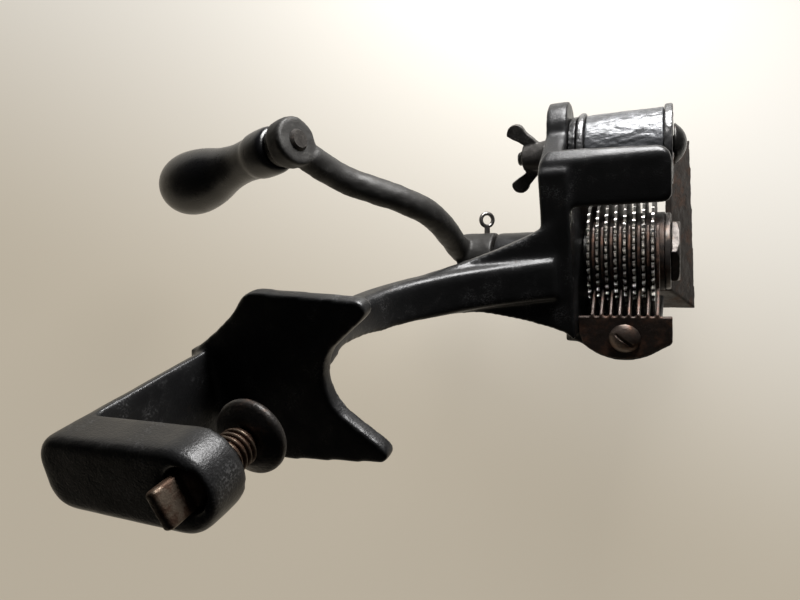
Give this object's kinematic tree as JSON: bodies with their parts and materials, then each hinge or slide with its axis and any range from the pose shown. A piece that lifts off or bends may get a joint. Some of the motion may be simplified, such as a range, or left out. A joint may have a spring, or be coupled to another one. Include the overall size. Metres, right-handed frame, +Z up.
{
  "type": "clamp-on fruit seeder",
  "caption": "Hand-cranked table-clamp fruit seeder: toothed disc stack, rubber pressure roller in a slotted ear, stripper comb, feed tray and C-clamp.",
  "frame": {"origin": "clamp screw axis at the underside of the upper jaw, where the table top bears", "axes": "+Z up with the tool clamped to a table, +X along the crank shaft from the crank to the toothed discs (the table edge enters the clamp from +X), +Y away from the pressure roller"},
  "size_m": [0.2333, 0.1217, 0.2599],
  "materials": {
    "black_casting": "sand-cast iron under thin worn black japan paint, grainy, glinting where the light rakes it",
    "screw_steel": "threaded steel, brown with old rust, bright on the crests and along the thumb tab",
    "pad_iron": "dark iron browned by rust on its rim",
    "dark_steel": "dulled dark steel with scratches",
    "crank_iron": "worn black casting, greyer and smoother than the frame, hand-polished in places",
    "pin_wire": "bent round wire, dull grey",
    "black_knob": "turned wood under satin black paint",
    "rivet_steel": "peened steel end in a dark ring",
    "disc_steel": "dark thin steel with bright worn tooth tips",
    "spacer_iron": "rough iron, brown with rust",
    "washer_steel": "brown-grey worn steel",
    "rusty_comb": "rusted brown steel plate with pale worn edges",
    "rusty_screw": "brown slotted screw, brighter on its dome",
    "roller_metal": "pewter-grey flange, dented",
    "roller_rubber": "hardened dark rubber with fine wrinkles and a wet shine",
    "wing_iron": "worn dark casting",
    "hopper_iron": "brown-black cast plate, thinly rusted"
  },
  "bodies": {
    "frame": {"frame_casting": "black_casting", "comb_plate": "rusty_comb", "comb_screw": "rusty_screw", "hopper": "hopper_iron", "hopper_screws": "rusty_screw"},
    "crank": {"crank_shaft": "dark_steel", "crank_arm": "crank_iron", "split_pin": "pin_wire", "knob_washer": "dark_steel", "handle_rivet": "rivet_steel", "end_spacer": "spacer_iron", "end_washer": "washer_steel", "disc_nut": "washer_steel", "saw_disc_1": "disc_steel", "saw_disc_2": "disc_steel", "saw_disc_3": "disc_steel", "saw_disc_4": "disc_steel", "saw_disc_5": "disc_steel", "saw_disc_6": "disc_steel", "saw_disc_7": "disc_steel", "saw_disc_8": "disc_steel", "disc_spacer_1": "spacer_iron", "disc_spacer_2": "spacer_iron", "disc_spacer_3": "spacer_iron", "disc_spacer_4": "spacer_iron", "disc_spacer_5": "spacer_iron", "disc_spacer_6": "spacer_iron", "disc_spacer_7": "spacer_iron"},
    "handle": {"handle_knob": "black_knob"},
    "roller_carriage": {"roller_bolt": "dark_steel", "ear_washer": "black_casting"},
    "roller": {"roller_core": "roller_metal", "roller_sleeve": "roller_rubber"},
    "wing_slide": {"wing_washer": "dark_steel"},
    "wing": {"wing_nut": "wing_iron"},
    "pad": {"clamp_pad": "pad_iron"},
    "screw": {"clamp_screw": "screw_steel"}
  },
  "joints": [
    {"name": "crank_turn", "type": "hinge", "parent": "frame", "child": "crank", "pos_m": [0.03, 0, 0.15], "axis": [1, 0, 0], "continuous": true},
    {"name": "handle_spin", "type": "hinge", "parent": "crank", "child": "handle", "pos_m": [-0.0412, -0.06833, 0.07028], "axis": [-0.9613, 0.1794, 0.2093], "continuous": true},
    {"name": "roller_adjust", "type": "slide", "parent": "frame", "child": "roller_carriage", "axis": [0, -1, 0], "range_m": [-0.0023, 0.006]},
    {"name": "roller_spin", "type": "hinge", "parent": "roller_carriage", "child": "roller", "pos_m": [0.0766, -0.0466, 0.15], "axis": [1, 0, 0], "continuous": true},
    {"name": "wing_nut_slide", "type": "slide", "parent": "roller_carriage", "child": "wing_slide", "axis": [-1, 0, 0], "range_m": [0, 0.003]},
    {"name": "wing_nut_turn", "type": "hinge", "parent": "wing_slide", "child": "wing", "pos_m": [0.0385, -0.0466, 0.15], "axis": [-1, 0, 0], "range_deg": [0, 850]},
    {"name": "pad_slide", "type": "slide", "parent": "frame", "child": "pad", "axis": [0, 0, 1], "range_m": [-0.0065, 0.002]},
    {"name": "clamp_screw_turn", "type": "hinge", "parent": "pad", "child": "screw", "pos_m": [0, 0, -0.045], "axis": [0, 0, 1], "range_deg": [-1338, 412]}
  ],
  "couplings": [
    {"joint": "wing_nut_slide", "follows": "wing_nut_turn", "m_per_rad": 0.000202},
    {"joint": "clamp_screw_turn", "follows": "pad_slide", "rad_per_m": 3590.7}
  ]
}
